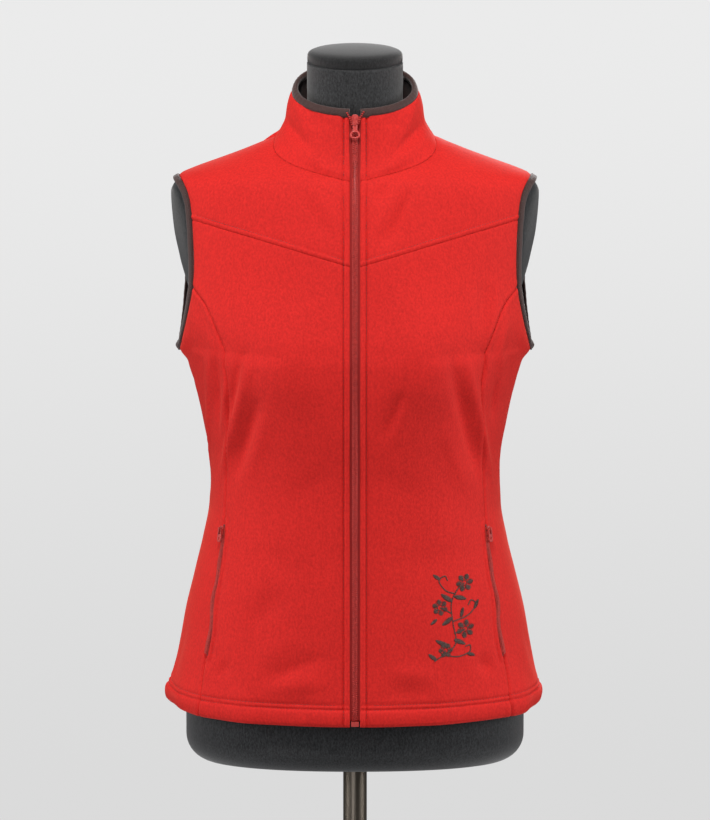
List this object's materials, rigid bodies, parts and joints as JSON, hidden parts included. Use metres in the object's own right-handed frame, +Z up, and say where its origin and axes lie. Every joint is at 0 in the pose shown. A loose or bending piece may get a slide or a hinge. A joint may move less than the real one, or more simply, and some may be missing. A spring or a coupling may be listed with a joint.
{
  "type": "fleece vest on a dress form",
  "caption": "Sleeveless stand-collar fleece vest with a front zip, seam pockets and bound armholes, worn by a limbless dress form on a pole stand with a round base.",
  "frame": {"origin": "centre of the underside of the round base, which is the bottom centre of the whole part", "axes": "+Z up along the pole, the zip faces -Y, the wearer's left is +X"},
  "size_m": [0.406, 0.406, 1.5343],
  "materials": {
    "fleece_red": "brushed nap",
    "trim_brown": "matt knit",
    "zip_textile": "woven tape, satin coil",
    "zip_enamel": "satin enamel",
    "form_jersey": "matt knit",
    "pole_steel": "brushed",
    "base_steel": "satin paint"
  },
  "bodies": {
    "vest_and_form": {"front_yoke_left": "fleece_red", "front_yoke_right": "fleece_red", "front_panel_left": "fleece_red", "front_panel_right": "fleece_red", "side_panel_left": "fleece_red", "side_panel_right": "fleece_red", "back_panel": "fleece_red", "collar": "fleece_red", "collar_lining": "trim_brown", "collar_binding": "trim_brown", "armhole_binding_left": "trim_brown", "armhole_binding_right": "trim_brown", "zip_tape_left": "zip_textile", "zip_tape_right": "zip_textile", "zip_chain": "zip_textile", "zip_stop": "zip_enamel", "pocket_zip_left": "zip_textile", "pocket_zip_right": "zip_textile", "zip_slider": "zip_enamel", "pocket_slider_left": "zip_enamel", "pocket_slider_right": "zip_enamel", "form_body": "form_jersey", "form_neck_cap": "form_jersey", "stand_pole": "pole_steel", "stand_base": "base_steel"},
    "zip_pull": {"zip_pull": "zip_enamel"},
    "pocket_pull_left": {"pocket_pull_left": "zip_enamel"},
    "pocket_pull_right": {"pocket_pull_right": "zip_enamel"}
  },
  "joints": [
    {"name": "zip_pull_hinge", "type": "hinge", "parent": "vest_and_form", "child": "zip_pull", "pos_m": [0, -0.07283, 1.45409], "axis": [-1, 0, 0], "range_deg": [0, 160]},
    {"name": "pocket_pull_left_hinge", "type": "hinge", "parent": "vest_and_form", "child": "pocket_pull_left", "pos_m": [0.13973, -0.07282, 1.03147], "axis": [-0.5759, -0.8117, 0.0974], "range_deg": [0, 160]},
    {"name": "pocket_pull_right_hinge", "type": "hinge", "parent": "vest_and_form", "child": "pocket_pull_right", "pos_m": [-0.13973, -0.07282, 1.03147], "axis": [-0.5759, 0.8117, -0.0974], "range_deg": [0, 160]}
  ]
}
